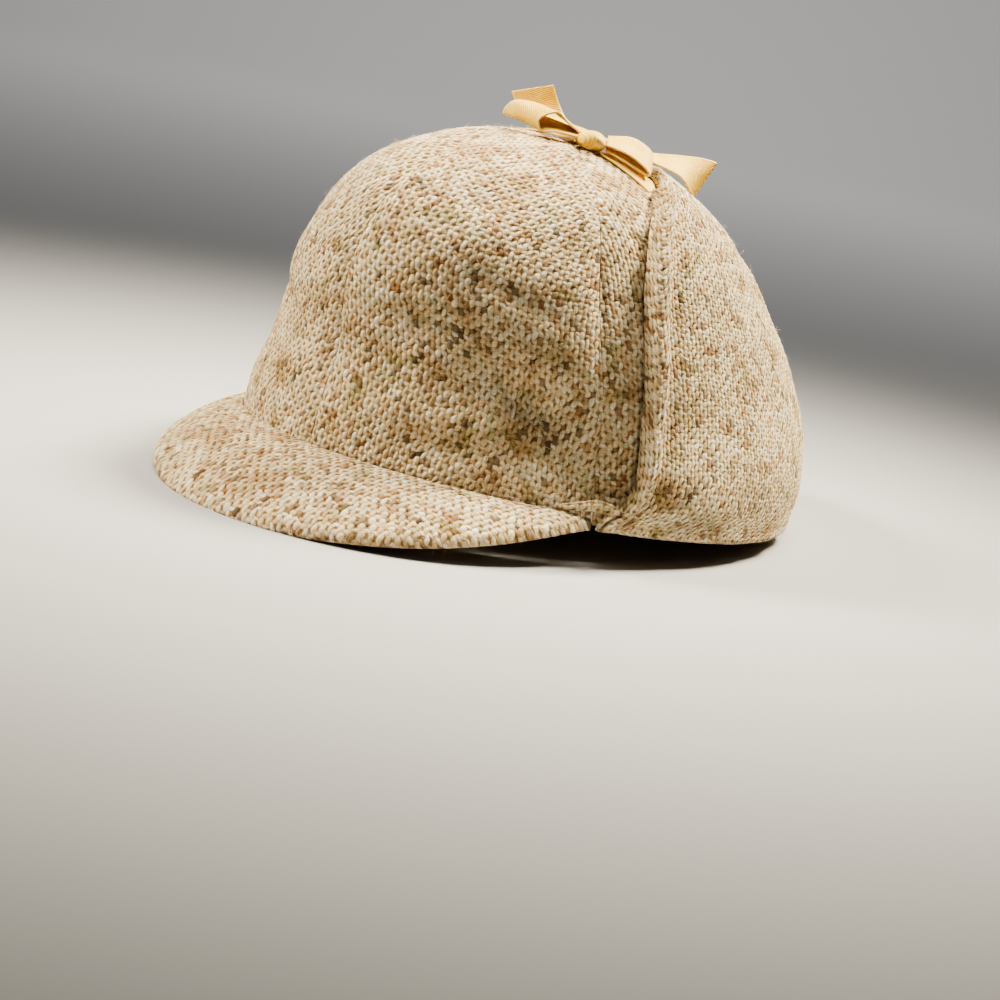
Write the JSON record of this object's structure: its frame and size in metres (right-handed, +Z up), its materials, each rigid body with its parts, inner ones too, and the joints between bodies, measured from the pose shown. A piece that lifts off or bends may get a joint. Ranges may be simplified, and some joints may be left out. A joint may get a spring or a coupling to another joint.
{
  "type": "deerstalker hat",
  "caption": "Tweed deerstalker hat with a front peak and ear flaps turned up and tied over the crown with a ribbon bow.",
  "frame": {"origin": "On the surface that the hat rests on, under the middle of its overall box.", "axes": "+Z up, -Y the way the peak points, +X the wearer's left."},
  "size_m": [0.1866, 0.2518, 0.1395],
  "materials": {
    "tweed": "rough cream wool tweed with brown, rust and dark flecks",
    "ribbon": "mustard-yellow ribbed ribbon with a slight sheen"
  },
  "bodies": {
    "root": {"crown_panel_front_left": "tweed", "crown_panel_front_right": "tweed", "crown_panel_side_left": "tweed", "crown_panel_side_right": "tweed", "crown_panel_back_left": "tweed", "crown_panel_back_right": "tweed", "peak": "tweed", "ear_flap_left": "tweed", "ear_flap_right": "tweed", "ribbon_knot": "ribbon", "ribbon_tie_left": "ribbon", "ribbon_tie_right": "ribbon", "ribbon_loop_front": "ribbon", "ribbon_loop_left": "ribbon", "ribbon_tail_front": "ribbon", "ribbon_tail_left": "ribbon"}
  },
  "joints": []
}
